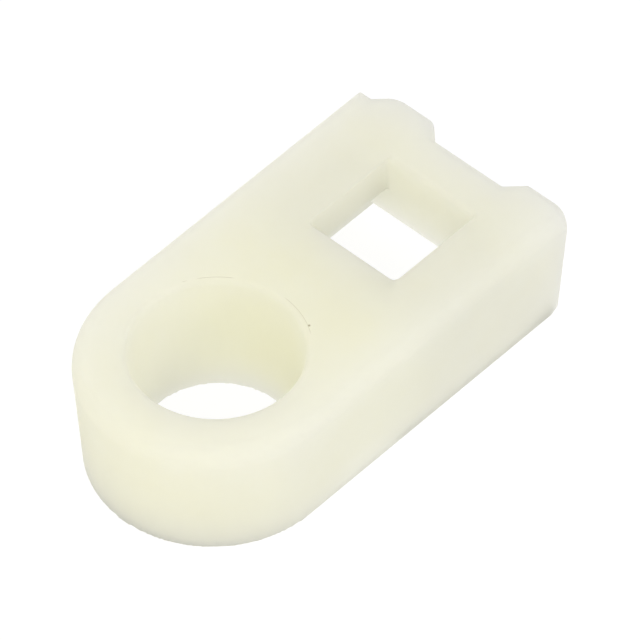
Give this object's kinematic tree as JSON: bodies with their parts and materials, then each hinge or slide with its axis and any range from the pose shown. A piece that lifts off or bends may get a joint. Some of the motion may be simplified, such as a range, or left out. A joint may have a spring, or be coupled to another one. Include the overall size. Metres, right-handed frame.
{
  "type": "cable tie mount",
  "caption": "Screw-on nylon cable tie mount: round end with a screw hole, square window and bridge for the tie, hollow underside and a notch between two ears.",
  "frame": {"origin": "on the screw hole's axis, in the face that goes against the wall", "axes": "+Z along the screw hole, away from the wall; +Y from the screw hole to the tie end; +X across the body"},
  "size_m": [0.0126, 0.0238, 0.0065],
  "materials": {
    "natural_nylon": "satin moulded nylon, undyed cream white"
  },
  "bodies": {
    "root": {"tie_mount": "natural_nylon"}
  },
  "joints": []
}
